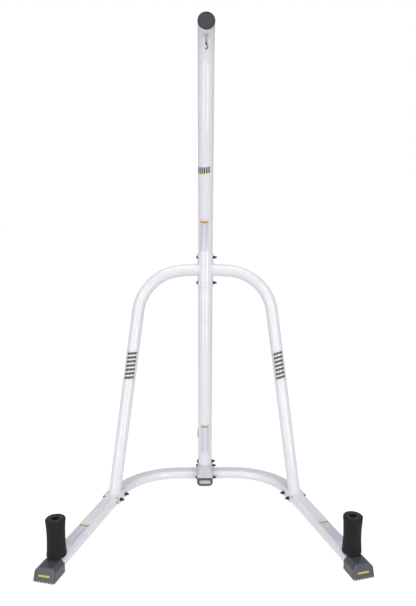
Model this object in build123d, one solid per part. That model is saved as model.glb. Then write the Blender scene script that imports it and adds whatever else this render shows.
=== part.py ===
from build123d import *
import math
import os

# Free-standing stand for a heavy punching bag. Millimetres, +Z up, front towards -Y.
# The origin is on the floor, at the middle of the footprint.

# ---- overall ----
DEPTH = 1490.0
MAST_DIA = 67.5
MAST_WALL = 2.0
ARCH_DIA = 55.5
ARCH_WALL = 2.0
CLEAR = 0.25

# ---- flat-oval base tubes ----
BASE_W = 73.0
BASE_H = 38.0
BASE_WALL = 2.0
SOLE_T = 8.0
BASE_Z = SOLE_T + BASE_H / 2
BASE_TOP = BASE_Z + BASE_H / 2

# ---- crossmember, front legs and rear leg in plan, measured from the mast axis ----
CROSS_BACK = 10.0
CROSS_FLAT = 134.0
CROSS_R = 280.0
SPLAY = 15.25
JOINT_RUN = 32.0
LEG_RUN = 665.0
CENTRE_FRONT = 94.0

# ---- foot caps ----
FOOT_W = 84.5
FOOT_L = 82.0
FOOT_H = 49.0
FOOT_SHOULDER = 35.0
FOOT_SLANT = 14.5
FOOT_CORNER_R = 11.0
FOOT_RAKE = 18.0
FOOT_NOSE_ROUND = 4.5
FOOT_FRONT_T = 24.0
RIB_COUNT = 8
RIB_GAP = 5.0
RIB_DEPTH = 4.5

# ---- pegs and foam rollers ----
PEG_SETBACK = 100.0
PEG_DIA = 25.4
PEG_WALL = 2.0
PEG_TOP = 172.0
FOAM_BOTTOM = FOOT_H + 0.5
FOAM_TOP = 197.5
FOAM_R = 38.6
FOAM_WAIST_R = 35.2
FOAM_BORE_R = PEG_DIA / 2 + 0.5
FOAM_RIM = 9.0

# ---- arch braces ----
ARCH_TOP_Z = 1050.0
ARCH_DROOP = 4.0
ARCH_CORNER_X = 294.0
ARCH_BEND_R = 218.0

# ---- saddles over the leg joints ----
SADDLE_T = 2.5
SADDLE_L = 96.0
SADDLE_LOW = 13.0
SADDLE_GAP = 0.4
SADDLE_CORNER_R = 11.0
JOINT_BOLT_HALF = 28.0
INSERT_L = 108.0
LOCK_SCREW_RUN = 94.0
LOCK_SCREW_R = 2.05
LOCK_HEAD_R = 4.0
LOCK_HEAD_T = 2.4

# ---- mast sleeve ----
SLEEVE_OD = 74.0
SLEEVE_L = 160.0
SLEEVE_RIM = 1.0
SLEEVE_Z = 1046.0
SLEEVE_BOLT_HALF = 60.5
MAST_SPLIT_Z = SLEEVE_Z

# ---- upper mast: two forward bends, then the arm ----
LEAN = 20.0
LEAN_Z = 1215.0
LEAN_R = 400.0
ARM_FROM_VERTICAL = 82.0
ARM_R = 170.0
ARM_TIP_REACH = 431.0
ARM_TIP_Z = 2030.0
CAP_FLANGE = 4.0
CAP_ROUND = 2.0
CAP_R = 34.0
CAP_GROOVE_R = 29.0
CAP_GROOVE_W = 2.0
CAP_GROOVE_DEPTH = 1.2
PLUG_T = 3.0
PLUG_L = 20.0

# ---- mast foot ----
MAST_LIFT = 4.0
BRACKET_T = 2.2
BRACKET_TOP = 82.0
BRACKET_FRONT = 92.0
BRACKET_REAR = 44.0
BRACKET_HALF_W = BASE_W / 2 + 0.3 + BRACKET_T
BRACKET_LOW = 15.0
BRACKET_FOOT_R = 8.0
BRACKET_NECK_R = 33.0
BRACKET_NECK_GAP = 0.5
BRACKET_SEAT_IN = 1.0
TAB_MARGIN = 16.0
SPIGOT_T = 3.0
SPIGOT_TOP = 118.0
FOOT_BOLT_Z = [93.0, 70.0]
STUB_BOLT_Y = 64.0
STUB_BOLT_Z = 37.5

# ---- fasteners: M8 ----
BOLT_R = 4.0
HEAD_R = 7.6
HEAD_T = 4.6
NUT_AF = 13.0
NUT_T = 7.6
NUT_CROWN = 1.6
TIP = 8.0
TIP_CHAMFER = 1.0
SOCKET_R = 2.6
SOCKET_DEPTH = 2.2
WASHER_R = 8.4
WASHER_T = 1.5
HOLE_R = BOLT_R + 0.2

# ---- hanger under the arm's end ----
HANGER_REACH = 397.0
FORK_SPREAD = 7.5
FORK_BAR = 4.0
FORK_ROOT = 6.0
FORK_DROP = 15.0
FORK_THICK = 6.0
WEB_W = 5.2
EYE_R = 4.4
PIN_R = 2.0
PIN_GAP = 0.05
PIN_DROP = 20.5
CHEEK_R = 3.7
CHEEK_T = 2.2
CHEEK_GAP = 0.8
STEM_R = 2.6
STEM_END = 30.0
BEAD_R = 4.6
BEAD_DROP = 33.0
SHANK_R = 2.2
SHANK_GAP = 0.06
HOOK_R = 6.0
HOOK_WIRE_R = 2.0
HOOK_SWEEP = 200
HOOK_DROP = 45.0
DROP_R = 3.4
DROP_POINT = 57.5

# ---- derived places ----
splay = math.radians(SPLAY)
leg_dir = (math.sin(splay), -math.cos(splay))
leg_out = (math.cos(splay), math.sin(splay))
arc_end = (CROSS_FLAT + CROSS_R * math.cos(splay), -CROSS_R * (1 - math.sin(splay)))
nose_reach = -(CROSS_BACK + arc_end[1] + LEG_RUN * leg_dir[1])
MAST_Y = nose_reach + FOOT_W / 2 * math.sin(splay) - DEPTH / 2
CROSS_Y = MAST_Y + CROSS_BACK
REAR_Y = DEPTH / 2
arm_angle = math.radians(ARM_FROM_VERTICAL)
arm_dir = (0, -math.sin(arm_angle), math.cos(arm_angle))
hanger_back = (ARM_TIP_REACH - HANGER_REACH) / math.sin(arm_angle)
HANGER_Y = MAST_Y - HANGER_REACH
HANGER_Z = ARM_TIP_Z - hanger_back * math.cos(arm_angle) - MAST_DIA / 2 / math.sin(arm_angle)
SIDES = {"left": -1, "right": 1}


def save(node, shape):
    export_step(shape, f"parts/{node}.step")


def ring(outer_r, inner_r):
    return Circle(outer_r) - Circle(inner_r)


def flat_oval(inset=0.0):
    return SlotOverall(BASE_W - 2 * inset, BASE_H - 2 * inset)


def oval_ring(outset=0.0, wall=BASE_WALL):
    return flat_oval(-outset) - flat_oval(wall - outset)


def cylinder_between(start, direction, length, radius):
    return Plane(origin=start, z_dir=direction) * extrude(Circle(radius), length)


def mirrored(side, shape):
    if side == "left":
        return mirror(shape, about=Plane.YZ)
    return shape


def leg_point(run, across=0.0):
    """Plan position on the right leg's line, run mm past the crossmember's bend."""
    x = arc_end[0] + run * leg_dir[0] + across * leg_out[0]
    y = CROSS_Y + arc_end[1] + run * leg_dir[1] + across * leg_out[1]
    return x, y


def leg_plane(run, z):
    """Plane across the right leg: local X outwards, local Y up, local Z forwards along the leg."""
    x, y = leg_point(run)
    return Plane(origin=(x, y, z), x_dir=(*leg_out, 0), z_dir=(*leg_dir, 0))


# ---------- masts and sleeve ----------

def upper_mast():
    tip = Vector(MAST_Y - ARM_TIP_REACH, ARM_TIP_Z)
    lean = math.radians(LEAN)
    rise = ARM_TIP_Z - LEAN_Z
    denom = math.sin(arm_angle - lean)
    arm_len = (ARM_TIP_REACH * math.cos(lean) - rise * math.sin(lean)) / denom
    corner = tip - Vector(-math.sin(arm_angle), math.cos(arm_angle)) * arm_len
    points = [(MAST_Y, MAST_SPLIT_Z + CLEAR), (MAST_Y, LEAN_Z), (corner.X, corner.Y), (tip.X, tip.Y)]
    path = Plane.YZ * FilletPolyline(*points, radius=[LEAN_R, ARM_R])
    section = Plane(origin=path @ 0, z_dir=path % 0) * ring(MAST_DIA / 2, MAST_DIA / 2 - MAST_WALL)
    tube = sweep(section, path)
    return tube - through_hole(SLEEVE_Z + SLEEVE_BOLT_HALF)


def lower_mast():
    bottom = BASE_TOP + MAST_LIFT
    height = MAST_SPLIT_Z - CLEAR - bottom
    tube = Pos(0, MAST_Y, bottom) * extrude(ring(MAST_DIA / 2, MAST_DIA / 2 - MAST_WALL), height)
    for z in [SLEEVE_Z - SLEEVE_BOLT_HALF] + FOOT_BOLT_Z:
        tube -= through_hole(z)
    return tube


def through_hole(z, y=None):
    """A cross hole along X, through a tube on the mast's centre plane."""
    y = MAST_Y if y is None else y
    return cylinder_between((-100, y, z), (1, 0, 0), 200, HOLE_R)


def mast_sleeve():
    low = SLEEVE_Z - SLEEVE_L / 2
    tube = Pos(0, MAST_Y, low) * extrude(ring(SLEEVE_OD / 2, MAST_DIA / 2 + CLEAR), SLEEVE_L)
    rims = tube.edges().filter_by(GeomType.CIRCLE).filter_by(lambda e: e.radius > MAST_DIA / 2 + 1)
    tube = chamfer(rims, SLEEVE_RIM)
    for side in (-1, 1):
        tube -= through_hole(SLEEVE_Z + side * SLEEVE_BOLT_HALF)
    return tube


def arm_end_cap():
    tip = Plane(origin=(0, MAST_Y - ARM_TIP_REACH, ARM_TIP_Z), z_dir=arm_dir)
    flange = Pos(0, 0, CLEAR) * extrude(Circle(CAP_R), CAP_FLANGE)
    face = flange.edges().filter_by(GeomType.CIRCLE).sort_by(Axis.Z)[-1]
    flange = fillet(face, CAP_ROUND)
    groove = extrude(ring(CAP_GROOVE_R, CAP_GROOVE_R - CAP_GROOVE_W), -CAP_GROOVE_DEPTH)
    plug_r = MAST_DIA / 2 - MAST_WALL - CLEAR
    plug = Pos(0, 0, CLEAR) * extrude(ring(plug_r, plug_r - PLUG_T), -PLUG_L)
    return tip * (flange - Pos(0, 0, CLEAR + CAP_FLANGE) * groove + plug)


# ---------- arch braces ----------

def arch_tube():
    foot_x, foot_y = leg_point(JOINT_RUN)
    forward = MAST_Y - foot_y
    drop = ARCH_TOP_Z - BASE_TOP - SADDLE_GAP - SADDLE_T
    slope = math.hypot(forward, drop)
    up = Vector(0, forward / slope, drop / slope)
    plane = Plane(origin=(0, MAST_Y, ARCH_TOP_Z), x_dir=(1, 0, 0), z_dir=Vector(1, 0, 0).cross(up))
    corner = (ARCH_CORNER_X, -ARCH_CORNER_X * math.tan(math.radians(ARCH_DROOP)))
    spare = 30
    run = Vector(foot_x - corner[0], -slope - corner[1])
    end = Vector(foot_x, -slope) + run.normalized() * spare
    path = plane * FilletPolyline((0, 0), corner, (end.X, end.Y), radius=ARCH_BEND_R)
    section = Plane(origin=path @ 0, z_dir=path % 0) * ring(ARCH_DIA / 2, ARCH_DIA / 2 - ARCH_WALL)
    tube = sweep(section, path)
    tube -= Pos(0, MAST_Y, ARCH_TOP_Z) * Cylinder(SLEEVE_OD / 2, 4 * ARCH_DIA)
    tube = tube.solids().sort_by(Axis.X)[-1]
    floor = Pos(foot_x, foot_y, BASE_TOP + SADDLE_GAP + SADDLE_T - 100) * Box(300, 300, 200)
    return tube - floor


def saddle():
    """Inverted steel channel over the joint, with its open side down."""
    half = BASE_W / 2 + SADDLE_GAP
    top = BASE_TOP + SADDLE_GAP
    outer = saddle_section(half + SADDLE_T, top + SADDLE_T, SADDLE_CORNER_R)
    inner = saddle_section(half, top, SADDLE_CORNER_R - SADDLE_T)
    plane = leg_plane(JOINT_RUN - SADDLE_L / 2, 0)
    channel = plane * extrude(outer - inner, SADDLE_L)
    for run in bolt_runs():
        channel -= joint_bore(run)
    return channel


def saddle_section(half, top, corner_r):
    block = Pos(0, (SADDLE_LOW + top) / 2) * Rectangle(2 * half, top - SADDLE_LOW)
    corners = block.vertices().sort_by(Axis.Y)[-2:]
    return fillet(corners, corner_r)


def bolt_runs():
    return [JOINT_RUN - JOINT_BOLT_HALF, JOINT_RUN + JOINT_BOLT_HALF]


def joint_bore(run, radius=HOLE_R):
    x, y = leg_point(run, -100)
    return cylinder_between((x, y, BASE_Z), (*leg_out, 0), 200, radius)


# ---------- base tubes ----------

def centre_tube():
    front = MAST_Y - CENTRE_FRONT
    length = REAR_Y - FOOT_FRONT_T - CLEAR - front
    plane = Plane(origin=(0, front, BASE_Z), x_dir=(-1, 0, 0), z_dir=(0, 1, 0))
    tube = plane * extrude(oval_ring(), length)
    return tube - through_hole(STUB_BOLT_Z, MAST_Y - STUB_BOLT_Y)


def crossmember():
    turn = SPLAY - 90
    flat = Line((0, CROSS_Y), (CROSS_FLAT, CROSS_Y))
    bend = JernArc(flat @ 1, (1, 0), CROSS_R, turn)
    tail = Line(bend @ 1, leg_point(JOINT_RUN - CLEAR))
    path = Pos(0, 0, BASE_Z) * Wire([flat, bend, tail])
    section = Plane(origin=path @ 0, x_dir=(0, 1, 0), z_dir=(1, 0, 0)) * oval_ring()
    tube = sweep(section, path)
    for run in bolt_runs()[:1]:
        tube -= joint_bore(run)
    centre = Plane(origin=(0, MAST_Y, BASE_Z), x_dir=(-1, 0, 0), z_dir=(0, 1, 0))
    tube -= centre * extrude(flat_oval(), 2 * BASE_W, both=True)
    return tube.solids().sort_by(Axis.X)[-1]


def front_leg(side):
    start = JOINT_RUN + CLEAR
    end = LEG_RUN - FOOT_FRONT_T - CLEAR
    tube = leg_plane(start, BASE_Z) * extrude(oval_ring(), end - start)
    for run in bolt_runs()[1:]:
        tube -= joint_bore(run)
    return mirrored(side, tube) - lock_screw_bore(side)


def joint_insert(side):
    """Inner sleeve, half in the crossmember and half in the leg."""
    middle = LOCK_SCREW_RUN / 2 + 4
    plane = leg_plane(middle - INSERT_L / 2, BASE_Z)
    sleeve = plane * extrude(oval_ring(-BASE_WALL - CLEAR, BASE_WALL), INSERT_L)
    for run in bolt_runs():
        sleeve -= joint_bore(run)
    return mirrored(side, sleeve) - lock_screw_bore(side)


# ---------- feet ----------

def foot_cap():
    """Plastic foot in its own frame: toe towards -Y at y = 0, sole on z = 0, raked nose."""
    block = Plane(origin=(0, FOOT_L, 0), x_dir=(1, 0, 0), z_dir=(0, -1, 0)) * extrude(foot_section(), FOOT_L)
    ahead = make_face(Polyline((0, 0), (FOOT_RAKE, FOOT_H), (-1, FOOT_H), (-1, 0), close=True))
    block -= Plane.YZ * extrude(ahead, FOOT_W, both=True)
    nose = block.faces().sort_by(Axis.Y)[0]
    upper_rim = nose.edges().filter_by(lambda e: e.center().Z > 1)
    block = fillet(upper_rim, FOOT_NOSE_ROUND)
    pocket = Plane(origin=(0, FOOT_FRONT_T, BASE_Z), x_dir=(-1, 0, 0), z_dir=(0, 1, 0))
    block -= pocket * extrude(flat_oval(-CLEAR), FOOT_L)
    pitch = FOOT_W / RIB_COUNT
    for i in range(RIB_COUNT):
        x = (i - (RIB_COUNT - 1) / 2) * pitch
        block -= Pos(x, FOOT_L / 2, RIB_DEPTH / 2) * Box(RIB_GAP, FOOT_L + 2, RIB_DEPTH)
    return block


def foot_section():
    """Outline of the foot across its length: upright sides, slanted shoulders and a flat top."""
    half = FOOT_W / 2
    outline = [
        (-half, 0),
        (-half, FOOT_SHOULDER),
        (-half + FOOT_SLANT, FOOT_H),
        (half - FOOT_SLANT, FOOT_H),
        (half, FOOT_SHOULDER),
        (half, 0),
    ]
    profile = make_face(Polyline(*outline, close=True))
    corners = profile.vertices().sort_by(Axis.Y)[2:]
    return fillet(corners, FOOT_CORNER_R)


def place_front_foot(shape):
    x, y = leg_point(LEG_RUN)
    return Pos(x, y, 0) * Rot(0, 0, SPLAY) * shape


def place_rear_foot(shape):
    return Pos(0, REAR_Y, 0) * Rot(0, 0, 180) * shape


def peg():
    """Upright steel tube welded to the base tube's flat top, in the foot's frame."""
    return Pos(0, PEG_SETBACK, BASE_TOP) * extrude(
        ring(PEG_DIA / 2, PEG_DIA / 2 - PEG_WALL), PEG_TOP - BASE_TOP)


def foam_roller():
    """Waisted foam sleeve around the peg, in the foot's frame."""
    middle = (FOAM_BOTTOM + FOAM_TOP) / 2
    left = Line((FOAM_BORE_R, FOAM_TOP), (FOAM_BORE_R, FOAM_BOTTOM))
    bottom = Line(left @ 1, (FOAM_R, FOAM_BOTTOM))
    waist = ThreePointArc(bottom @ 1, (FOAM_WAIST_R, middle), (FOAM_R, FOAM_TOP))
    top = Line(waist @ 1, left @ 0)
    profile = make_face(Wire([left, bottom, waist, top]))
    rims = profile.vertices().sort_by(Axis.X)[-2:]
    profile = fillet(rims, FOAM_RIM)
    return Pos(0, PEG_SETBACK, 0) * revolve(Plane.XZ * profile, Axis.Z)


def centre_end_cap():
    plane = Plane(origin=(0, MAST_Y - CENTRE_FRONT, BASE_Z), x_dir=(1, 0, 0), z_dir=(0, -1, 0))
    flange = Pos(0, 0, CLEAR) * extrude(flat_oval(-0.6), 4)
    face_rim = flange.faces().sort_by(Axis.Z)[-1].edges()
    flange = fillet(face_rim, 1.6)
    panel = Pos(0, 0, 4 + CLEAR) * extrude(flat_oval(8), -1)
    inside = BASE_WALL + CLEAR
    plug = Pos(0, 0, CLEAR) * extrude(flat_oval(inside) - flat_oval(inside + 2.5), -14)
    return plane * (flange - panel + plug)


# ---------- mast foot ----------

def mast_foot_bracket():
    """Tapered shell around the mast's foot, with two tabs down over the centre tube's front."""
    outer = bracket_body(0)
    inner = bracket_body(BRACKET_T)
    shell = outer - inner
    tab_y = (-BRACKET_FRONT - STUB_BOLT_Y + TAB_MARGIN) / 2
    tab_len = BRACKET_FRONT - STUB_BOLT_Y + TAB_MARGIN
    for side in (-1, 1):
        x = side * (BRACKET_HALF_W - BRACKET_T / 2)
        height = BASE_TOP + CLEAR - BRACKET_LOW
        shell += Pos(x, MAST_Y + tab_y, BRACKET_LOW + height / 2) * Box(BRACKET_T, tab_len, height)
    shell -= through_hole(FOOT_BOLT_Z[1])
    shell -= through_hole(STUB_BOLT_Z, MAST_Y - STUB_BOLT_Y)
    return shell


def bracket_body(inset):
    low = BASE_TOP + CLEAR
    half = BRACKET_HALF_W - inset
    depth = BRACKET_FRONT + BRACKET_REAR - 2 * inset
    middle = (BRACKET_REAR - BRACKET_FRONT) / 2
    top_half = MAST_DIA / 2 + BRACKET_NECK_GAP + BRACKET_T - inset
    foot = Pos(0, MAST_Y + middle, low) * RectangleRounded(2 * half, depth, BRACKET_FOOT_R - inset)
    neck = Pos(0, MAST_Y, BRACKET_TOP) * RectangleRounded(2 * top_half, 2 * top_half, BRACKET_NECK_R - inset)
    return loft([foot, neck])


def mast_spigot():
    outer = MAST_DIA / 2 - MAST_WALL - CLEAR
    tube = Pos(0, MAST_Y, BASE_TOP) * extrude(ring(outer, outer - SPIGOT_T), SPIGOT_TOP - BASE_TOP)
    for z in FOOT_BOLT_Z:
        tube -= through_hole(z)
    return tube


# ---------- fasteners: local +X runs from the head to the nut ----------

def bolt(grip):
    """Button-head bolt whose head sits at x = 0 and whose tip passes the nut."""
    stock = WASHER_T + grip + WASHER_T + NUT_T + TIP
    shank = Plane.YZ * extrude(Circle(BOLT_R), stock)
    tip = shank.edges().filter_by(GeomType.CIRCLE).sort_by(Axis.X)[-1]
    shank = chamfer(tip, TIP_CHAMFER)
    head = Plane.YZ * extrude(Circle(HEAD_R), -HEAD_T)
    crown = head.edges().filter_by(GeomType.CIRCLE).sort_by(Axis.X)[0]
    head = fillet(crown, HEAD_T - 0.8)
    socket = extrude(RegularPolygon(SOCKET_R, 6), SOCKET_DEPTH)
    return head + shank - Plane(origin=(-HEAD_T, 0, 0), z_dir=(1, 0, 0)) * socket


def nut(grip):
    start = 2 * WASHER_T + grip
    blank = Plane.YZ * extrude(RegularPolygon(NUT_AF / 2, 6, major_radius=False), NUT_T)
    cone = revolve(make_face(Polyline((0, 0), (0, NUT_AF * 0.54), (NUT_T - NUT_CROWN, NUT_AF * 0.62),
                                      (NUT_T, NUT_AF * 0.49), (NUT_T, 0), close=True)), Axis.X)
    body = blank & cone
    bore = Plane.YZ * extrude(Circle(BOLT_R + 0.05), NUT_T)
    return Pos(start, 0, 0) * (body - bore)


def washers(grip):
    disc = Plane.YZ * extrude(ring(WASHER_R, HOLE_R), WASHER_T)
    return [disc, Pos(WASHER_T + grip, 0, 0) * disc]


def fastener_sets(places):
    """Bolts, nuts and washers for a list of (location, grip)."""
    bolts = [where * bolt(grip) for where, grip in places]
    nuts = [where * nut(grip) for where, grip in places]
    rings = [where * disc for where, grip in places for disc in washers(grip)]
    return bolts, nuts, rings


def across_mast(z, half, y=None):
    y = MAST_Y if y is None else y
    return Pos(-half - WASHER_T, y, z), 2 * half


def joint_places(side):
    """Heads outside, nuts inside, square to the leg."""
    half = BASE_W / 2 + SADDLE_GAP + SADDLE_T
    sign = SIDES[side]
    places = []
    for run in bolt_runs():
        x, y = leg_point(run, half + WASHER_T)
        turn = 180 + SPLAY if sign > 0 else -SPLAY
        places.append((Pos(sign * x, y, BASE_Z) * Rot(0, 0, turn), 2 * half))
    return places


def lock_screw_side(side):
    """Both legs carry the screw on their +X flank."""
    across = BASE_W / 2 * SIDES[side]
    x, y = leg_point(LOCK_SCREW_RUN, across)
    turn = SPLAY if side == "right" else -SPLAY
    return Pos(SIDES[side] * x, y, BASE_Z) * Rot(0, 0, turn)


def lock_screw_bore(side):
    return lock_screw_side(side) * (Pos(-3, 0, 0) * Rot(0, 90, 0) * Cylinder(LOCK_SCREW_R + 0.15, 14))


def lock_screw(side):
    head = Plane.YZ * extrude(Circle(LOCK_HEAD_R), LOCK_HEAD_T)
    head = fillet(head.faces().sort_by(Axis.X)[-1].edges(), LOCK_HEAD_T - 1)
    slot = Pos(LOCK_HEAD_T, 0, 0) * Box(1.6, 0.9, 5)
    shank = Plane.YZ * extrude(Circle(LOCK_SCREW_R), -6)
    return lock_screw_side(side) * Pos(CLEAR, 0, 0) * (head + shank - slot)


# ---------- hanger ----------

def hanger_at(drop):
    return Pos(0, HANGER_Y, HANGER_Z - drop)


def hanger_fork():
    """Wishbone welded under the arm, with an eye for the pin below its throat."""
    arms = []
    for side in (-1, 1):
        bar = [
            (side * (FORK_SPREAD - FORK_BAR / 2), FORK_ROOT),
            (side * (FORK_SPREAD + FORK_BAR / 2), FORK_ROOT),
            (side * WEB_W / 2, -FORK_DROP),
            (-side * WEB_W / 4, -FORK_DROP),
        ]
        arms.append(extrude(make_face(Polyline(*bar, close=True)), FORK_THICK / 2, both=True))
    web = Pos(0, -FORK_DROP / 2 - PIN_DROP / 2) * Rectangle(WEB_W, PIN_DROP - FORK_DROP + 2)
    eye = Pos(0, -PIN_DROP) * Circle(EYE_R)
    lug = extrude(web + eye, FORK_THICK / 2 - 0.5, both=True)
    fork = Plane.XZ * (arms[0] + arms[1] + lug)
    fork -= Pos(0, 0, -PIN_DROP) * Rot(90, 0, 0) * Cylinder(PIN_R + PIN_GAP, 3 * FORK_THICK)
    fork = hanger_at(0) * fork
    arm = Plane(origin=(0, MAST_Y - ARM_TIP_REACH, ARM_TIP_Z), z_dir=arm_dir)
    return fork - arm * Pos(0, 0, -40) * Cylinder(MAST_DIA / 2, 100)


def hanger_pin():
    half = FORK_THICK / 2 + CHEEK_T
    shank = Cylinder(PIN_R, 2 * half + 0.6)
    pin = shank + Pos(0, 0, half + 0.9) * Cylinder(3.2, 1.2) + Pos(0, 0, -half - 0.9) * Cylinder(2.8, 1.2)
    return hanger_at(PIN_DROP) * Rot(90, 0, 0) * pin


def swivel_link():
    """Two cheeks on the pin, and a stem down into the bead."""
    gap = FORK_THICK - 1 + CHEEK_GAP
    plate = Pos(0, -PIN_DROP) * Circle(CHEEK_R)
    plate += Pos(0, -PIN_DROP - CHEEK_R) * Rectangle(2 * CHEEK_R, 2 * CHEEK_R)
    body = Plane.XZ * extrude(plate, gap / 2 + CHEEK_T, both=True)
    body -= Pos(0, 0, -PIN_DROP + 1) * Box(20, gap, 11.6)
    body -= Pos(0, 0, -PIN_DROP) * Rot(90, 0, 0) * Cylinder(PIN_R + PIN_GAP, 30)
    stem_top = PIN_DROP + 6
    body += Pos(0, 0, -(stem_top + STEM_END) / 2) * Cylinder(STEM_R, STEM_END - stem_top + 2)
    return hanger_at(0) * body


def swivel_bead():
    """Ball pressed onto the stem; the hook's shank turns in its lower half."""
    depth = 3 * BEAD_R
    ball = Pos(0, 0, -BEAD_DROP) * Sphere(BEAD_R)
    ball -= Pos(0, 0, -STEM_END - 1 + depth / 2) * Cylinder(STEM_R, depth)
    ball -= Pos(0, 0, -BEAD_DROP + 1.5 - depth / 2) * Cylinder(SHANK_R + SHANK_GAP, depth)
    return hanger_at(0) * ball


def hook():
    """Small open hook that turns in the bead, with its mouth to the left and a pointed drop below."""
    centre = -HOOK_DROP
    crown = centre + HOOK_R
    sweep_arc = CenterArc((0, centre), HOOK_R, 90, -HOOK_SWEEP)
    path = Plane.XZ * sweep_arc
    section = Plane(origin=path @ 0, z_dir=path % 0) * Circle(HOOK_WIRE_R)
    body = sweep(section, path)
    neck_top = -BEAD_DROP + 1
    body += Pos(0, 0, (neck_top + crown) / 2) * Cylinder(SHANK_R, neck_top - crown)
    body += Pos(0, 0, crown) * Sphere(HOOK_WIRE_R + 0.25)
    tip = path @ 1
    body += Pos(tip.X, tip.Y, tip.Z) * Sphere(HOOK_WIRE_R)
    bottom = centre - HOOK_R
    body += Pos(0, 0, bottom) * Sphere(DROP_R)
    point = bottom + DROP_POINT
    body += Pos(0, 0, bottom - point / 2 - 1) * Cone(0.6, DROP_R * 0.85, point - 2)
    return hanger_at(0) * body


# ---------- write every node ----------

def write_structure():
    save("upper_mast", upper_mast())
    save("lower_mast", lower_mast())
    save("mast_sleeve", mast_sleeve())
    save("arm_end_cap", arm_end_cap())
    save("centre_tube", centre_tube())
    save("centre_end_cap", centre_end_cap())
    save("mast_foot_bracket", mast_foot_bracket())
    save("mast_spigot", mast_spigot())
    arch = arch_tube()
    channel = saddle()
    cross = crossmember()
    for side in SIDES:
        save(f"{side}_arch_tube", mirrored(side, arch))
        save(f"{side}_saddle", mirrored(side, channel))
        save(f"{side}_crossmember", mirrored(side, cross))
        save(f"{side}_front_leg", front_leg(side))
        save(f"{side}_joint_insert", joint_insert(side))


def write_feet():
    for name, shape in (("foot_cap", foot_cap()), ("peg", peg()), ("foam_roller", foam_roller())):
        front = place_front_foot(shape)
        for side in SIDES:
            save(f"{side}_{name}", mirrored(side, front))
        save(f"rear_{name}", place_rear_foot(shape))


def write_fasteners():
    sleeve = [across_mast(SLEEVE_Z + s * SLEEVE_BOLT_HALF, SLEEVE_OD / 2) for s in (1, -1)]
    foot = [
        across_mast(FOOT_BOLT_Z[0], MAST_DIA / 2),
        across_mast(FOOT_BOLT_Z[1], BRACKET_HALF_W - BRACKET_SEAT_IN),
        across_mast(STUB_BOLT_Z, BRACKET_HALF_W, MAST_Y - STUB_BOLT_Y),
    ]
    joints = joint_places("left") + joint_places("right")
    for name, places in (("sleeve", sleeve), ("mast_foot", foot), ("leg_joint", joints)):
        bolts, nuts, rings = fastener_sets(places)
        save(f"{name}_bolts", Compound(bolts))
        save(f"{name}_nuts", Compound(nuts))
        save(f"{name}_washers", Compound(rings))
    save("leg_lock_screws", Compound([lock_screw(side) for side in SIDES]))


def write_hanger():
    save("hanger_fork", hanger_fork())
    save("hanger_pin", hanger_pin())
    save("swivel_link", swivel_link())
    save("swivel_bead", swivel_bead())
    save("hook", hook())


os.makedirs("parts", exist_ok=True)
write_structure()
write_feet()
write_fasteners()
write_hanger()
print("mast axis at y =", round(MAST_Y, 2), " hanger at", round(HANGER_Y, 2), round(HANGER_Z, 2))
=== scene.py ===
import math

import bpy
import numpy as np
from mathutils import Matrix, Vector, noise
from mathutils.bvhtree import BVHTree

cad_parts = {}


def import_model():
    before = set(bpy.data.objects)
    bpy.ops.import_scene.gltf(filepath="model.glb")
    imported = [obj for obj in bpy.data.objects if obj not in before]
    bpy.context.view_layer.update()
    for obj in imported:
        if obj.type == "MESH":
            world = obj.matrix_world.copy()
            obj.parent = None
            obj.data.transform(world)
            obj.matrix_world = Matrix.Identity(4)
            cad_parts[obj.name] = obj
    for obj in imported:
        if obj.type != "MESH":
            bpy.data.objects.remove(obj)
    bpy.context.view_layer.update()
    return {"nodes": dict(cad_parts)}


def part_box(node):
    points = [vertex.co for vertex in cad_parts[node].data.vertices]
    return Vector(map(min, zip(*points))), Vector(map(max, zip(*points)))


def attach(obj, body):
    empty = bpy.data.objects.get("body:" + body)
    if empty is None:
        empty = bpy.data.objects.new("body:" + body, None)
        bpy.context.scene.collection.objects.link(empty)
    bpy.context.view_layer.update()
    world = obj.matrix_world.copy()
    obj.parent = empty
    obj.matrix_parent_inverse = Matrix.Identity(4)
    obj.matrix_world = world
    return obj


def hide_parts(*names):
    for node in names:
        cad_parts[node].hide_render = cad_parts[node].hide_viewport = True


# Looks for the heavy-bag stand. Metres, +Z up, front towards -Y.

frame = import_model()
NODES = frame["nodes"]
SIDES = {"left": -1, "right": 1}
MM = 0.001


# ---------- materials ----------

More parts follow.
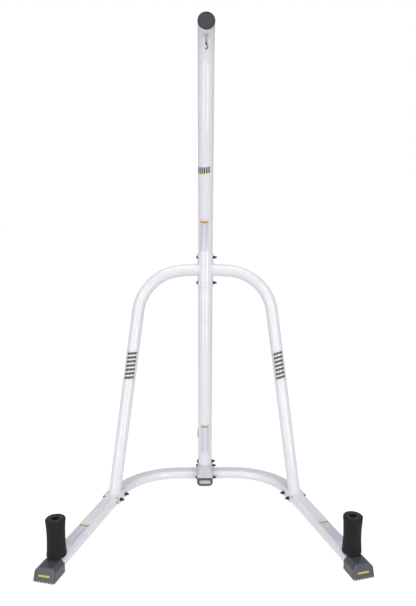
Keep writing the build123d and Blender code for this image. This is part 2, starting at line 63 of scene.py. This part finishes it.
class Shader:
    """A Principled material, with short calls for the nodes that feed it."""

    def __init__(self, name, **constants):
        self.material = bpy.data.materials.new(name)
        self.material.use_nodes = True
        self.tree = self.material.node_tree
        self.surface = self.tree.nodes["Principled BSDF"]
        for socket, value in constants.items():
            self.surface.inputs[socket.replace("_", " ")].default_value = value
        self.place = self.tree.nodes.new("ShaderNodeTexCoord").outputs["Object"]

    def node(self, kind, **settings):
        made = self.tree.nodes.new(kind)
        for key, value in settings.items():
            setattr(made, key, value)
        return made

    def feed(self, socket, value):
        if isinstance(value, bpy.types.NodeSocket):
            self.tree.links.new(value, socket)
        else:
            socket.default_value = value

    def stretched(self, x, y, z):
        made = self.node("ShaderNodeMapping")
        self.feed(made.inputs["Vector"], self.place)
        made.inputs["Scale"].default_value = (x, y, z)
        return made.outputs["Vector"]

    def noise(self, size, detail=3.0, roughness=0.55, place=None):
        """Noise from 0 to 1 whose lumps are about `size` metres across."""
        made = self.node("ShaderNodeTexNoise")
        self.feed(made.inputs["Vector"], place or self.place)
        made.inputs["Scale"].default_value = 1 / size
        made.inputs["Detail"].default_value = detail
        made.inputs["Roughness"].default_value = roughness
        return made.outputs["Fac"]

    def cells(self, size, output="Distance"):
        """Cells about `size` metres across: the distance from each centre, or a colour for each."""
        made = self.node("ShaderNodeTexVoronoi")
        self.feed(made.inputs["Vector"], self.place)
        made.inputs["Scale"].default_value = 1 / size
        return made.outputs[output]

    def remap(self, value, low, high, to_low, to_high):
        """Carries the span low..high onto to_low..to_high, clamped at both ends."""
        made = self.node("ShaderNodeMapRange")
        self.feed(made.inputs["Value"], value)
        for socket, number in zip(list(made.inputs)[1:5], (low, high, to_low, to_high)):
            socket.default_value = number
        return made.outputs["Result"]

    def blend(self, amount, first, second):
        """The first colour where the amount is 0 and the second where it is 1."""
        made = self.node("ShaderNodeMix", data_type="RGBA")
        self.feed(made.inputs["Factor"], amount)
        self.feed(made.inputs[6], first)
        self.feed(made.inputs[7], second)
        return made.outputs[2]

    def times(self, first, second):
        made = self.node("ShaderNodeMath", operation="MULTIPLY")
        self.feed(made.inputs[0], first)
        self.feed(made.inputs[1], second)
        return made.outputs[0]

    def bump(self, height, depth, strength, base=None):
        made = self.node("ShaderNodeBump")
        self.feed(made.inputs["Height"], height)
        made.inputs["Distance"].default_value = depth
        made.inputs["Strength"].default_value = strength
        if base:
            self.feed(made.inputs["Normal"], base)
        return made.outputs["Normal"]

    def finish(self, colour, roughness=None, normal=None):
        self.feed(self.surface.inputs["Base Color"], colour)
        if roughness:
            self.feed(self.surface.inputs["Roughness"], roughness)
        if normal:
            self.feed(self.surface.inputs["Normal"], normal)
        return self.material


def rgba(red, green, blue):
    return (red, green, blue, 1.0)


def scaled(colour, share):
    """A colour with each channel times `share`."""
    return rgba(*[c * share for c in colour])


def powder_coat(name="white_powder_coat_look", shade=1.0):
    """White gloss powder coat: orange peel, faint cloudiness and a trace of dust."""
    s = Shader(name, Coat_Weight=0.8, Coat_Roughness=0.05)
    cloud = s.remap(s.noise(0.16), 0.3, 0.7, 0, 1)
    low = scaled((0.70, 0.69, 0.735), shade)
    high = scaled((0.74, 0.73, 0.775), shade)
    dusty = scaled((0.66, 0.65, 0.67), shade)
    body = s.blend(cloud, low, high)
    dust = s.remap(s.noise(0.02, 6, 0.7), 0.56, 0.8, 0, 0.5)
    colour = s.blend(dust, body, dusty)
    peel = s.bump(s.noise(0.0024, 1.5), 0.00004, 0.35)
    normal = s.bump(s.noise(0.0006, 2), 0.00001, 0.3, peel)
    return s.finish(colour, s.remap(s.noise(0.01), 0.3, 0.7, 0.2, 0.3), normal)


def moulded_plastic(name, dark, light, rough, gloss=0.0):
    """Spark-eroded mould finish: fine grain, cloudy gloss and light scuffs."""
    s = Shader(name, Coat_Weight=gloss, Coat_Roughness=0.12)
    body = s.blend(s.remap(s.noise(0.03), 0.3, 0.7, 0, 1), dark, light)
    speck = s.remap(s.noise(0.0007, 4, 0.7), 0.55, 0.75, 0, 0.35)
    pale = rgba(*[min(1.0, c * 1.6 + 0.02) for c in light[:3]])
    scuff_place = s.stretched(1, 3.5, 1)
    scuff = s.remap(s.noise(0.006, 5, 0.75, scuff_place), 0.66, 0.8, 0, 0.35)
    colour = s.blend(scuff, s.blend(speck, body, pale), pale)
    grain = s.bump(s.cells(0.0009), 0.00006, 0.5)
    normal = s.bump(s.noise(0.004), 0.00008, 0.25, grain)
    return s.finish(colour, s.remap(s.noise(0.008), 0.3, 0.7, rough - 0.06, rough + 0.08), normal)


def foam_skin(name="black_foam_look", lift=1.0):
    """Closed-cell foam rubber: pores under a thin skin, soft sheen, cloudy black."""
    s = Shader(name, Sheen_Weight=0.04, Sheen_Roughness=0.5, Specular_IOR_Level=0.25)
    cloud = s.remap(s.noise(0.018, 4, 0.6), 0.32, 0.68, 0, 1)
    # lift scales the colour up; the top-face foam uses it to paint on light
    low = scaled((0.0076, 0.0064, 0.0071), lift)
    high = scaled((0.0127, 0.0108, 0.0118), lift)
    body = s.blend(cloud, low, high)
    pores = s.cells(0.0011)
    open_pore = s.remap(pores, 0.0, 0.22, 1, 0)
    colour = s.blend(open_pore, body, rgba(0.007, 0.0065, 0.0075))
    skin = s.bump(s.remap(pores, 0.0, 0.45, 0, 1), 0.00012, 0.5)
    creases = s.noise(0.012, 5, 0.65, s.stretched(1, 1, 3))
    normal = s.bump(creases, 0.0006, 0.3, skin)
    return s.finish(colour, s.remap(s.noise(0.005), 0.3, 0.7, 0.68, 0.85), normal)


def plated(name, dark, light, rough, spangle, metallic=1.0):
    """Plated or blackened steel with a fine crystalline mottle and drawn scratches."""
    s = Shader(name, Metallic=metallic)
    grain = s.cells(spangle, output="Color")
    split = s.node("ShaderNodeSeparateColor")
    s.feed(split.inputs[0], grain)
    mottle = s.times(split.outputs[0], s.noise(0.004, 4))
    colour = s.blend(s.remap(mottle, 0.05, 0.6, 0, 1), dark, light)
    scratches = s.noise(0.0008, 3, 0.6, s.stretched(0.15, 1, 1))
    normal = s.bump(scratches, 0.00003, 0.4)
    return s.finish(colour, s.remap(s.noise(0.003), 0.3, 0.7, rough - 0.07, rough + 0.1), normal)


def vinyl(name, dark, light):
    """Printed vinyl under gloss film: a fine roller grain and a slightly uneven ink."""
    rough = 0.35
    s = Shader(name, Coat_Weight=0.9, Coat_Roughness=0.06)
    ink = s.remap(s.noise(0.012, 4), 0.3, 0.7, 0, 1)
    colour = s.blend(ink, dark, light)
    normal = s.bump(s.noise(0.0009, 2), 0.00002, 0.4)
    return s.finish(colour, s.remap(s.noise(0.004), 0.3, 0.7, rough - 0.05, rough + 0.08), normal)


MATERIALS = {
    "white_powder_coat": powder_coat(),
    "grey_plastic": moulded_plastic(
        "grey_plastic_look", rgba(0.046, 0.048, 0.062), rgba(0.059, 0.061, 0.078), 0.34, 0.35),
    "black_foam": foam_skin(),
    "zinc_steel": plated(
        "zinc_steel_look", rgba(0.3, 0.32, 0.34), rgba(0.46, 0.48, 0.5), 0.38, 0.0022),
    "dark_steel": plated(
        "dark_steel_look", rgba(0.09, 0.09, 0.105), rgba(0.19, 0.19, 0.21), 0.42, 0.0014),
    "black_fastener": plated(
        "black_fastener_look", rgba(0.012, 0.012, 0.013), rgba(0.03, 0.028, 0.027), 0.45, 0.0011, 0.35),
}
# two nodes whose finish differs from the rest of their slot: the bracket's coat at 0.7 of the white's
# brightness, the end cap's plastic darker and without gloss
NODE_MATERIALS = {
    "mast_foot_bracket": powder_coat("darker_powder_coat_look", 0.7),
    "arm_end_cap": moulded_plastic(
        "cap_plastic_look", rgba(0.031, 0.03, 0.038), rgba(0.039, 0.038, 0.048), 0.45),
}
# painted light: the foam's top face, its colour 2.8 times the wall's, lighter as the lamp above falls on it
FOAM_TOP_PAINTED_LIGHT = foam_skin("foam_top_painted_light_look", 2.8)
LAVENDER = vinyl("label_lavender", rgba(0.585, 0.56, 0.665), rgba(0.635, 0.61, 0.705))
LABEL_EDGE = vinyl("label_edge", rgba(0.5, 0.48, 0.6), rgba(0.54, 0.52, 0.63))
LABEL_WHITE = vinyl("label_white", rgba(0.64, 0.64, 0.665), rgba(0.69, 0.69, 0.71))
ORANGE = vinyl("label_orange", rgba(0.43, 0.235, 0.01), rgba(0.52, 0.29, 0.016))
INK = vinyl("mark_ink", rgba(0.034, 0.031, 0.035), rgba(0.055, 0.051, 0.057))
YELLOW = vinyl("mark_yellow", rgba(0.43, 0.36, 0.012), rgba(0.52, 0.44, 0.02))
PALE_YELLOW = vinyl("mark_pale_yellow", rgba(0.74, 0.71, 0.15), rgba(0.82, 0.79, 0.19))
PALE_PLASTIC = moulded_plastic(
    "pale_plastic_look", rgba(0.41, 0.41, 0.455), rgba(0.46, 0.46, 0.51), 0.45)


def dress_cad_nodes():
    for name, node in NODES.items():
        for place in node.material_slots:
            place.material = NODE_MATERIALS.get(name, MATERIALS[place.material.name])


# ---------- making pieces ----------

def piece(name, points, faces, materials, body="stand", choice=None):
    mesh = bpy.data.meshes.new(name)
    mesh.from_pydata([tuple(p) for p in points], [], faces)
    for material in materials:
        mesh.materials.append(material)
    for number, face in enumerate(mesh.polygons):
        face.use_smooth = True
        face.material_index = choice[number] if choice else 0
    mesh.update()
    made = bpy.data.objects.new(name, mesh)
    bpy.context.scene.collection.objects.link(made)
    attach(made, body)
    return made


def grid_faces(rows, columns, close_rows=False, close_columns=False, start=0):
    """Quads between rows of points, each row holding `columns` points."""
    faces = []
    for i in range(rows if close_rows else rows - 1):
        for j in range(columns if close_columns else columns - 1):
            a, b = start + i * columns, start + (i + 1) % rows * columns
            k = (j + 1) % columns
            faces.append((a + j, a + k, b + k, b + j))
    return faces


# ---------- reading the frame ----------

TREES = {}
EDGES = {}
FLAT_RAY_START = 0.1    # how far off a flat skin's plane its rays set out
RING_RAY_START = 0.12   # how far off a tube's axis a ring's rays set out
AXIS_STEP = 4 * MM      # how far above and below a ring the tube's axis is read


def tree(node):
    if node not in TREES:
        mesh = NODES[node].data
        TREES[node] = BVHTree.FromPolygons(
            [v.co.copy() for v in mesh.vertices], [tuple(p.vertices) for p in mesh.polygons])
    return TREES[node]


def slice_centre(node, level, axis=2):
    """Middle of the outline that a plane square to an axis (0 x, 1 y, 2 z) cuts through a node."""
    if node not in EDGES:
        mesh = NODES[node].data
        places = np.array([v.co for v in mesh.vertices])
        EDGES[node] = places[np.array([e.vertices for e in mesh.edges])]
    first, second = EDGES[node][:, 0], EDGES[node][:, 1]
    crossed = (first[:, axis] - level) * (second[:, axis] - level) < 0
    a, b = first[crossed], second[crossed]
    share = (level - a[:, axis]) / (b[:, axis] - a[:, axis])
    cuts = a + (b - a) * share[:, None]
    return Vector((cuts.min(0) + cuts.max(0)) / 2)


def hit(node, start, direction):
    """Where a ray first meets a node."""
    point = tree(node).ray_cast(Vector(start), Vector(direction).normalized())[0]
    if point is None:
        raise ValueError(f"no surface of {node} along {direction} from {start}")
    return point


class TubeSkin:
    """Points on a round tube: height picks the ring, side is the distance round it from its front."""

    def __init__(self, node, radius):
        self.node = node
        self.radius = radius
        self.centres = {}

    def centre(self, height):
        key = round(height, 5)
        if key not in self.centres:
            self.centres[key] = slice_centre(self.node, height)
        return self.centres[key]

    def at(self, height, side, lift):
        centre = self.centre(height)
        axis = (self.centre(height + AXIS_STEP) - self.centre(height - AXIS_STEP)).normalized()
        front = Vector((0, -1, 0))
        front = (front - axis * front.dot(axis)).normalized()
        out = Matrix.Rotation(side / self.radius, 3, axis) @ front
        far = centre + out * 3 * self.radius
        return hit(self.node, far, -out) + out * lift


class FlatSkin:
    """Points on a node seen square on: up and side are distances from an origin in its plane."""

    def __init__(self, node, origin, up, out):
        self.node = node
        self.origin = Vector(origin)
        self.up = Vector(up).normalized()
        self.out = Vector(out).normalized()
        self.across = self.up.cross(self.out)

    def at(self, up, side, lift):
        far = self.origin + self.up * up + self.across * side + self.out * FLAT_RAY_START
        return hit(self.node, far, -self.out) + self.out * lift


# ---------- printed labels and marks ----------

FILM = 0.2 * MM         # thickness of a printed film
SEAT = 0.3 * MM         # height of the lowest film over the surface
FILM_ROW = 6 * MM
FILM_COLUMN = 2.5 * MM


def outline_rows(low, high, half, corner, step):
    """(height, half width) rows of a rectangle with rounded corners."""
    corner = min(corner, half, (high - low) / 2)
    turns = [math.radians(a) for a in (0, 22.5, 45, 67.5, 90)]
    rows = [(corner * (1 - math.cos(t)), half - corner * (1 - math.sin(t))) for t in turns]
    middle = max(1, int((high - low - 2 * corner) / step))
    straight = [(corner + (high - low - 2 * corner) * i / middle, half) for i in range(1, middle)]
    top = [(high - low - h, w) for h, w in reversed(rows)]
    return [(low + h, w) for h, w in rows + straight + top]


def film_solid(skin, rows, middle, slant, layer, columns):
    """Closed thin sheet over a skin; returns its points and faces."""
    bottom = SEAT + layer * FILM
    points = []
    for lift in (bottom, bottom + FILM):
        for height, half in rows:
            for j in range(columns):
                side = middle + half * (2 * j / (columns - 1) - 1)
                points.append(skin.at(height + slant * side, side, lift))
    count = len(rows)
    size = count * columns
    faces = [tuple(reversed(f)) for f in grid_faces(count, columns)]
    faces += grid_faces(count, columns, start=size)
    rim = list(range(columns))
    rim += [i * columns + columns - 1 for i in range(1, count)]
    rim += [(count - 1) * columns + j for j in range(columns - 2, -1, -1)]
    rim += [i * columns for i in range(count - 2, 0, -1)]
    for a, b in zip(rim, rim[1:] + rim[:1]):
        faces.append((a, b, b + size, a + size))
    return points, faces


def printed(name, skin, shapes):
    """One piece made of film shapes: (material, low, high, middle, half, corner, slant, layer)."""
    points, faces, materials, choice = [], [], [], []
    for material, low, high, middle, half, corner, slant, layer in shapes:
        rows = outline_rows(low, high, half, corner, FILM_ROW)
        columns = max(5, int(2 * half / FILM_COLUMN) | 1)
        more, sides = film_solid(skin, rows, middle, slant, layer, columns)
        if material not in materials:
            materials.append(material)
        choice += [materials.index(material)] * len(sides)
        faces += [tuple(i + len(points) for i in f) for f in sides]
        points += more
    piece(name, points, faces, materials, choice=choice)


def safety_label(name, skin, low, high, middle=0.0, half=19 * MM, white_foot=True):
    """Blank lavender label: white band and orange strip at its upper end; white_foot adds a band below."""
    length = high - low
    inner = half - 1.5 * MM
    side_band = half - 8 * MM

    def shape(material, start, end, half_width, corner, layer, offset=0.0):
        """A stretch of the label, from start to end as shares of its length from the orange end."""
        base, top = high - length * end, high - length * start
        return (material, base, top, middle + offset, half_width, corner, 0.0, layer)

    shapes = [
        shape(LAVENDER, 0.0, 1.0, half, 3 * MM, 0),
        shape(LABEL_WHITE, 0.012, 0.055, inner, 1 * MM, 1),
        shape(ORANGE, 0.055, 0.115, half - 0.5 * MM, 0.6 * MM, 1),
        shape(LABEL_EDGE, 0.15, 0.88, 2.2 * MM, 1 * MM, 1, -side_band),
        shape(LABEL_EDGE, 0.15, 0.88, 2.2 * MM, 1 * MM, 1, side_band),
    ]
    if white_foot:
        shapes.append(shape(LABEL_WHITE, 0.91, 0.985, inner, 1 * MM, 1))
    printed(name, skin, shapes)


UPPER_LABEL = (1.136, 1.295)    # heights of a label's two ends
LOWER_LABEL = (0.137, 0.296)


def mast_labels():
    """The labels on the two mast tubes; returns the upper mast's skin."""
    radius = (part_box("lower_mast")[1].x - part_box("lower_mast")[0].x) / 2
    upper = TubeSkin("upper_mast", radius)
    lower = TubeSkin("lower_mast", radius)
    safety_label("upper_mast_label", upper, *UPPER_LABEL, -6 * MM, white_foot=False)
    safety_label("lower_mast_label", lower, *LOWER_LABEL)
    return upper


def mast_mark(skin):
    """Generic mark: a row of slanted dark dashes over one yellow dash."""
    base = 1.495
    slant = 0.25
    count = 7
    first, pitch = -48, 10.5
    tall, half, corner = 27 * MM, 3.4 * MM, 0.8 * MM
    shapes = []
    for i in range(count):
        side = (first + pitch * i) * MM
        level = base + 1 * MM - slant * side / 2
        shapes.append((INK, level, level + tall, side, half, corner, slant, 0))
    shapes.append((PALE_YELLOW, base - 9 * MM, base - 1 * MM, -15 * MM, 12 * MM, 2 * MM, 0.0, 0))
    printed("mast_mark", skin, shapes)


BRACE_MARK = (0.5465, 0.6725)   # heights of the row of dashes
# less than the brace's own radius, so the marks reach a little further round it than their widths say
BRACE_MARK_RADIUS = 25.4 * MM


def arch_marks():
    """Generic mark on each brace: slanted dark dashes on a white panel."""
    low, high = BRACE_MARK
    margin = 6 * MM
    slant = 0.2
    count = 7
    pitch = (high - low) / count
    gap = 7 * MM
    for side in SIDES:
        skin = TubeSkin(f"{side}_arch_tube", BRACE_MARK_RADIUS)
        shapes = [(LABEL_WHITE, low - margin, high + margin, 0.0, 23 * MM, 2 * MM, 0.0, 0)]
        for i in range(count):
            start = low + pitch * i + 2.5 * MM
            shapes.append((INK, start, start + pitch - gap, 0.0, 20 * MM, 1 * MM, slant, 1))
        printed(f"{side}_brace_mark", skin, shapes)


# distance of a leg label's far end from the peg, along the leg
LEG_LABEL_TOP = {"left": 0.237, "right": 0.246}
LEG_LABEL_LENGTH = 0.16
LEG_LABEL_HALF = 20.5 * MM


def leg_labels():
    for side in SIDES:
        foot = sum(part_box(f"{side}_peg"), Vector()) / 2
        saddle = sum(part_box(f"{side}_saddle"), Vector()) / 2
        along = Vector((saddle.x - foot.x, saddle.y - foot.y, 0)).normalized()
        origin = (foot.x, foot.y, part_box(f"{side}_peg")[0].z)
        skin = FlatSkin(f"{side}_front_leg", origin, along, (0, 0, 1))
        top = LEG_LABEL_TOP[side]
        safety_label(
            f"{side}_leg_label", skin, top - LEG_LABEL_LENGTH, top, half=LEG_LABEL_HALF, white_foot=False)


# ---------- foam rollers ----------

LIP_POINTS = 5      # round the bore's upper edge
TOP_POINTS = 14     # across the top
RIM_POINTS = 10     # round each outer edge
WALL_POINTS = 44    # steps down the outer wall


def foam_profile(radius, waist, bore, height):
    """(distance from the axis, height) down a foam sleeve, from the bore's top round to its bottom."""
    rim = 6.5 * MM
    lip = 1.8 * MM
    dish = 1.2 * MM
    points = []
    for i in range(LIP_POINTS):
        turn = math.radians(90 * i / (LIP_POINTS - 1))
        points.append((bore + lip * (1 - math.sin(turn)), height - dish - lip * (1 - math.cos(turn))))
    points = [(r, z) for r, z in reversed(points)]
    points = [(bore, height * 0.86)] + points
    face = radius - rim
    for i in range(1, TOP_POINTS + 1):
        share = i / (TOP_POINTS + 1)
        r = bore + lip + (face - bore - lip) * share
        hollow = dish * (1 - share * share * (3 - 2 * share))
        groove = 1.6 * MM * math.exp(-((share - 0.4) / 0.07) ** 2)
        points.append((r, height - hollow - groove))
    for i in range(RIM_POINTS):
        turn = math.radians(90 * i / (RIM_POINTS - 1))
        points.append((face + rim * math.sin(turn), height - rim * (1 - math.cos(turn))))
    for i in range(1, WALL_POINTS):
        share = i / WALL_POINTS
        z = height - rim - (height - 2 * rim) * share
        swell = (2 * share - 1) ** 2
        points.append((waist + (radius - waist) * swell, z))
    for i in range(RIM_POINTS):
        turn = math.radians(90 * i / (RIM_POINTS - 1))
        points.append((face + rim * math.cos(turn), rim * (1 - math.sin(turn))))
    points += [(bore + 6 * MM, 0.4 * MM), (bore + 1.2 * MM, 0.6 * MM), (bore, 2 * MM)]
    return points


def foam_roller(side):
    """Waisted foam sleeve on the peg, a little uneven, as soft foam is."""
    node = f"{side}_foam_roller"
    low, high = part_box(node)
    peg_low, peg_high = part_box(f"{side}_peg")
    centre = (low + high) / 2
    radius = (high.x - low.x) / 2 - 0.8 * MM
    bore = (peg_high.x - peg_low.x) / 2 + 0.5 * MM
    height = high.z - low.z
    profile = foam_profile(radius, radius - 3.2 * MM, bore, height)
    around = 112
    clear = 0.2 * MM
    points = []
    seed = Vector((centre.x * 9, centre.y * 9, 3))
    for r, z in profile:
        for j in range(around):
            turn = 2 * math.pi * j / around
            out = Vector((math.cos(turn), math.sin(turn), 0))
            soft = min(1.0, max(0.0, (r - bore) / (radius - bore)))
            # broad lumps and fine ripples round it, and ends that are not quite level
            lump = noise.noise(out * 1.3 + Vector((0, 0, z * 14)) + seed) * 0.8 * MM
            ripple = noise.noise(out * 4 + Vector((0, 0, z * 60)) + seed) * 0.2 * MM
            reach = r + (lump + ripple) * soft
            level = z + noise.noise(out * 1.1 + seed * 2) * 1.0 * MM * soft * (z / height - 0.5)
            level = min(max(level, clear), height - clear)
            points.append(Vector((centre.x, centre.y, low.z + level)) + out * reach)
    faces = [tuple(reversed(f)) for f in grid_faces(len(profile), around, True, True)]
    # the top face between lip and rim takes the painted-light foam
    first_top = LIP_POINTS + 1
    top_rows = range(first_top, first_top + TOP_POINTS - 1)
    choice = [int(number // around in top_rows) for number in range(len(faces))]
    looks = [MATERIALS["black_foam"], FOAM_TOP_PAINTED_LIGHT]
    made = piece(f"{side}_foam_sleeve", points, faces, looks, f"{side}_foam", choice)
    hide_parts(node)


# ---------- weld beads ----------

def outer_ring(node, centre, axis, count):
    """Points round a tube's outside, in the plane square to its axis."""
    axis = Vector(axis).normalized()
    first = axis.orthogonal().normalized()
    ring = []
    for i in range(count):
        out = Matrix.Rotation(2 * math.pi * i / count, 3, axis) @ first
        ring.append(hit(node, centre + out * RING_RAY_START, -out))
    return ring


def bead(name, loop, radius):
    """Closed weld bead with overlapping ripples along a loop of points."""
    count, around = len(loop), 10
    middle = sum(loop, Vector()) / count
    lengths = [0.0]
    for a, b in zip(loop, loop[1:] + loop[:1]):
        lengths.append(lengths[-1] + (b - a).length)
    waves = round(lengths[-1] / (3.6 * MM))
    points = []
    for i, point in enumerate(loop):
        along = (loop[(i + 1) % count] - loop[i - 1]).normalized()
        out = point - middle
        out = (out - along * out.dot(along)).normalized()
        up = along.cross(out)
        phase = (lengths[i] / lengths[-1] * waves) % 1
        size = radius * (0.9 + 0.16 * math.sqrt(phase) + 0.08 * noise.noise(point * 300))
        for j in range(around):
            turn = 2 * math.pi * j / around
            points.append(point + (out * math.cos(turn) + up * math.sin(turn)) * size)
    faces = grid_faces(count, around, True, True)
    piece(name, points, faces, [MATERIALS["white_powder_coat"]])


def joint_loop(node, centre, axis, onto, count, inset=1.0):
    """The loop where a tube, carried along its axis, meets another node."""
    ring = outer_ring(node, centre, axis, count)
    return [hit(onto, centre + (p - centre) * inset, axis) for p in ring]


# how far off the part it is welded to a tube is sliced, at two places, to find its axis
ROOT_GAPS = (6 * MM, 26 * MM)
FOOT_GAPS = (12 * MM, 52 * MM)


def weld_beads():
    """Beads at the braces' roots and feet, on the centre tube and round the pegs."""
    for side, sign in SIDES.items():
        arch = f"{side}_arch_tube"
        # the brace's root on the sleeve
        sleeve_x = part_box("mast_sleeve")[1].x
        near, far = (slice_centre(arch, sign * (sleeve_x + gap), 0) for gap in ROOT_GAPS)
        loop = joint_loop(arch, near, near - far, "mast_sleeve", 150)
        bead(f"{side}_sleeve_weld", loop, 4.2 * MM)
        # the brace's foot on the saddle
        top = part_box(f"{side}_saddle")[1].z
        low, high = (slice_centre(arch, top + gap) for gap in FOOT_GAPS)
        loop = joint_loop(arch, low, low - high, f"{side}_saddle", 150)
        bead(f"{side}_saddle_weld", loop, 4.0 * MM)
        # the crossmember on the centre tube
        cross = f"{side}_crossmember"
        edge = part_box("centre_tube")[1].x
        near, far = (slice_centre(cross, sign * (edge + gap), 0) for gap in ROOT_GAPS)
        loop = joint_loop(cross, near, near - far, "centre_tube", 170, 0.985)
        bead(f"{side}_centre_weld", loop, 2.6 * MM)
    for side in ("left", "right", "rear"):
        low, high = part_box(f"{side}_peg")
        radius = (high.x - low.x) / 2
        axis = (low + high) / 2
        count = 70
        turns = [2 * math.pi * i / count for i in range(count)]
        loop = [Vector((axis.x + radius * math.cos(a), axis.y + radius * math.sin(a), low.z)) for a in turns]
        bead(f"{side}_peg_weld", loop, 2.0 * MM)


# ---------- printed faces on the plastic caps ----------

PEG_TO_NOSE = 0.1       # about how far the end of a foot's nose is from its peg's axis


def foot_marks():
    """A plain yellow bar on each foot's nose."""
    for side in ("left", "right", "rear"):
        low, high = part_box(f"{side}_foot_cap")
        peg = sum(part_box(f"{side}_peg"), Vector()) / 2
        middle = (low + high) / 2
        out = Vector((middle.x - peg.x, middle.y - peg.y, 0)).normalized()
        origin = Vector((peg.x, peg.y, 0)) + out * PEG_TO_NOSE
        skin = FlatSkin(f"{side}_foot_cap", origin, (0, 0, 1), out)
        base, top = 19 * MM, 25 * MM
        shapes = [(YELLOW, base, top, -1 * MM, 23 * MM, 2.5 * MM, 0.0, 0)]
        printed(f"{side}_foot_mark", skin, shapes)


def centre_cap_panel():
    """Plain pale plate in the centre cap's recess."""
    low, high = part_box("centre_end_cap")
    middle = (low + high) / 2
    skin = FlatSkin("centre_end_cap", (middle.x, low.y, middle.z), (0, 0, 1), (0, -1, 0))
    half_height = 9 * MM
    shapes = [(PALE_PLASTIC, -half_height, half_height, 0.0, 28 * MM, 8.5 * MM, 0.0, 0)]
    printed("centre_cap_panel", skin, shapes)


# ---------- studio ----------

FLOOR_BOUNCE = 0.56     # the floor's glow as the stand sees it, as a share of what the camera sees
FLOOR_DROP = 0.3 * MM


def floor():
    """Pale floor, lit from within so that it stays white away from the stand."""
    half = 40.0
    s = Shader("studio_floor", Roughness=0.9, Specular_IOR_Level=0.1, Emission_Color=rgba(1, 1, 1))
    cloud = s.remap(s.noise(0.5), 0.3, 0.7, 0, 1)
    distance = s.node("ShaderNodeVectorMath", operation="LENGTH")
    s.feed(distance.inputs[0], s.place)
    away = s.remap(distance.outputs["Value"], 0.7, 2.4, 0, 1)
    glow = s.remap(away, 0, 1, 0.74, 1.0)
    seen = s.node("ShaderNodeLightPath").outputs["Is Camera Ray"]
    lit = s.remap(seen, 0, 1, FLOOR_BOUNCE, 1)
    s.feed(s.surface.inputs["Emission Strength"], s.times(glow, lit))
    near = s.blend(cloud, rgba(0.44, 0.44, 0.44), rgba(0.46, 0.46, 0.46))
    material = s.finish(s.blend(away, near, rgba(0, 0, 0)))
    mesh = bpy.data.meshes.new("studio_floor")
    corners = [(-half, -half, 0), (half, -half, 0), (half, half, 0), (-half, half, 0)]
    mesh.from_pydata(corners, [], [(0, 1, 2, 3)])
    mesh.materials.append(material)
    made = bpy.data.objects.new("studio_floor", mesh)
    made.location.z = -FLOOR_DROP
    bpy.context.scene.collection.objects.link(made)


def world():
    """White room: brightest in front, dimmest behind, and plain white where it is seen."""
    made = bpy.data.worlds.new("studio")
    bpy.context.scene.world = made
    made.use_nodes = True
    nodes, links = made.node_tree.nodes, made.node_tree.links
    seen, light = nodes["Background"], nodes.new("ShaderNodeBackground")
    seen.inputs["Color"].default_value = (1, 1, 1, 1)
    seen.inputs["Strength"].default_value = 1.0
    direction = nodes.new("ShaderNodeTexCoord").outputs["Generated"]
    split = nodes.new("ShaderNodeSeparateXYZ")
    links.new(direction, split.inputs[0])
    fade = nodes.new("ShaderNodeMapRange")
    links.new(split.outputs["Y"], fade.inputs["Value"])
    front, back, bright, dim = -1.0, 0.6, 0.86, 0.42
    for socket, number in zip(list(fade.inputs)[1:5], (front, back, bright, dim)):
        socket.default_value = number
    light.inputs["Color"].default_value = (0.985, 0.985, 1.0, 1)
    links.new(fade.outputs["Result"], light.inputs["Strength"])
    choose = nodes.new("ShaderNodeMixShader")
    links.new(nodes.new("ShaderNodeLightPath").outputs["Is Camera Ray"], choose.inputs["Fac"])
    links.new(light.outputs[0], choose.inputs[1])
    links.new(seen.outputs[0], choose.inputs[2])
    links.new(choose.outputs[0], nodes["World Output"].inputs["Surface"])


def softbox(name, place, target, width, height, power):
    data = bpy.data.lights.new(name, "AREA")
    data.shape = "RECTANGLE"
    data.size, data.size_y = width, height
    data.energy = power
    made = bpy.data.objects.new(name, data)
    made.location = place
    made.rotation_mode = "QUATERNION"
    made.rotation_quaternion = (Vector(target) - Vector(place)).to_track_quat("-Z", "Y")
    made.visible_camera = False
    bpy.context.scene.collection.objects.link(made)


def around(azimuth, distance, height):
    """A place round the stand: azimuth 0 is in front and 90 to the right."""
    turn = math.radians(azimuth)
    return distance * math.sin(turn), -distance * math.cos(turn), height


def lights():
    """Two tall softboxes standing in front, whose reflections run down the tubes, and one overhead."""
    tall = 2.6
    distance = 2.87
    off_floor = 0.02
    middle = (0, 0, tall / 2 + off_floor)
    softbox("strip_left", around(-32, distance, middle[2]), middle, 0.46, tall, 20.5)
    softbox("strip_right", around(26, distance, middle[2]), middle, 0.42, tall, 24)
    softbox("overhead", (0, -0.4, 4.6), (0, 0, 0), 3.6, 3.6, 62)


EYE = (-0.0084, -2.7017, 1.3117)
PITCH, YAW, ROLL = 8.542, 1.792, 0.39   # degrees
SENSOR = 36                             # millimetres, as is the lens
LENS = 35.2782
LENS_SHIFT = (-0.022987, -0.000743)     # shares of the frame's longer side


def camera():
    """Chest height, in front, pitched down a little, with a slight turn, roll and sideways shift."""
    data = bpy.data.cameras.new("camera")
    data.sensor_width = SENSOR
    data.lens = LENS
    data.shift_x, data.shift_y = LENS_SHIFT
    made = bpy.data.objects.new("camera", data)
    made.location = EYE
    pitch, yaw, roll = 90 - PITCH, -YAW, ROLL
    turn = Matrix.Rotation(math.radians(yaw), 3, "Z") @ Matrix.Rotation(math.radians(pitch), 3, "X")
    turn = turn @ Matrix.Rotation(math.radians(roll), 3, "Z")
    made.rotation_euler = turn.to_euler()
    bpy.context.scene.collection.objects.link(made)
    bpy.context.scene.camera = made
    bpy.context.scene.view_settings.view_transform = "Standard"


dress_cad_nodes()
mast_mark(mast_labels())
arch_marks()
leg_labels()
for where in ("left", "right", "rear"):
    foam_roller(where)
weld_beads()
foot_marks()
centre_cap_panel()
floor()
world()
lights()
camera()
